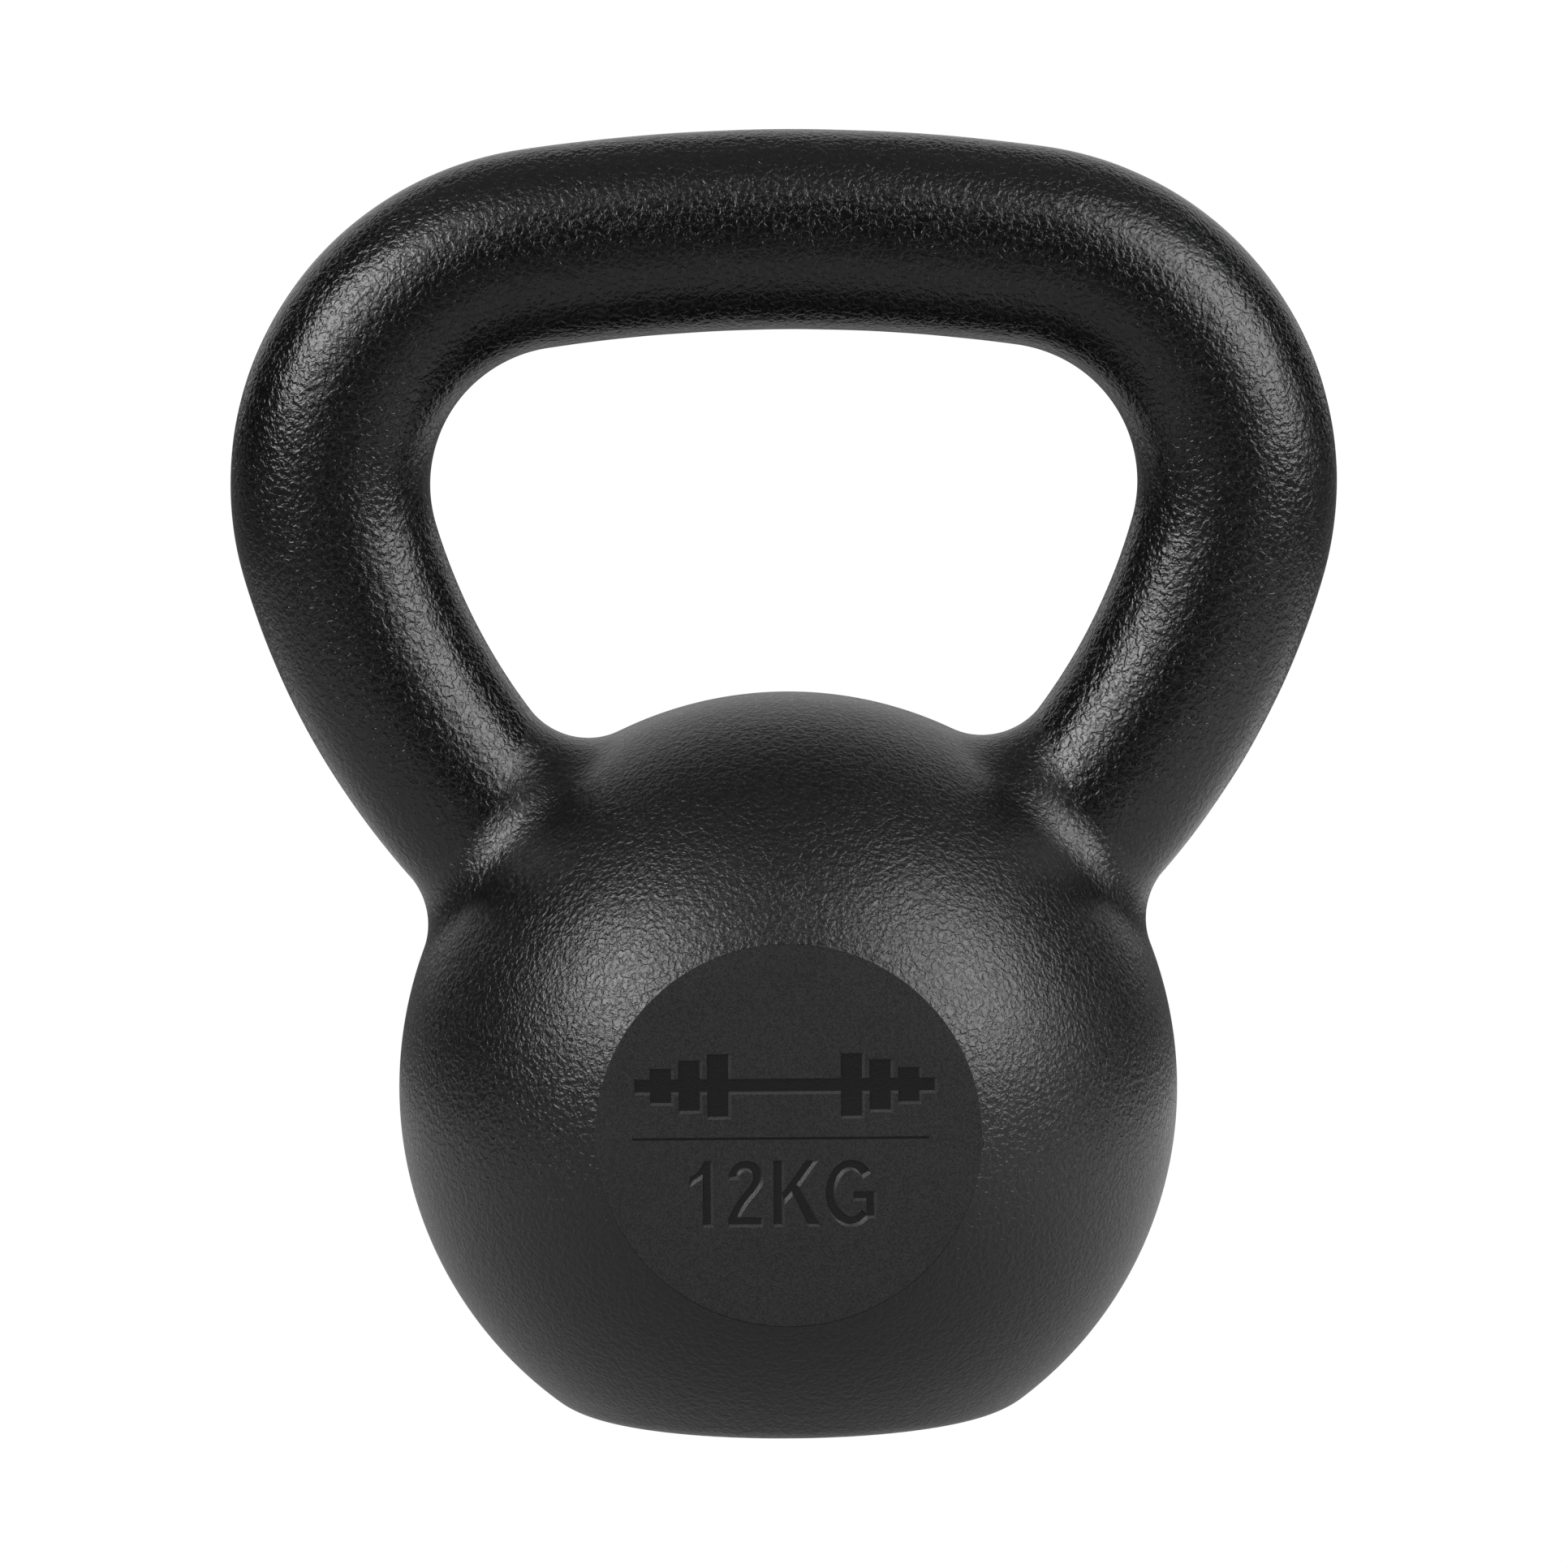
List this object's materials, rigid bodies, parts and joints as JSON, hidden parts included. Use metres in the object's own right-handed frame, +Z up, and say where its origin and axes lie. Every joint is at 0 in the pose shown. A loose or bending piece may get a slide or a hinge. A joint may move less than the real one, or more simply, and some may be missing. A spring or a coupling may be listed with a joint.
{
  "type": "kettlebell",
  "caption": "Cast iron kettlebell with a black wrinkle powder coat, a round bent grip bar, a flat-based ball body and inlaid matt discs front and rear.",
  "frame": {"origin": "middle of the flat base, on the floor", "axes": "+Z up through the ball and the grip, X along the grip, -Y out of the front weight disc"},
  "size_m": [0.1962, 0.1216, 0.2289],
  "materials": {
    "coated_iron": "black powder coat with a fine wrinkled surface, satin",
    "coated_bar": "the same black wrinkle powder coat, satin, slightly smoother on the bends",
    "matt_disc": "black, finer and more matt grain than the coat around it",
    "coated_plug": "black powder coat, satin",
    "bare_iron": "bare turned iron, dull grey"
  },
  "bodies": {
    "root": {"bell": "coated_iron", "handle": "coated_bar", "front_weight_disc": "matt_disc", "rear_weight_disc": "matt_disc", "base_plug": "coated_plug", "calibration_slug": "bare_iron"}
  },
  "joints": []
}
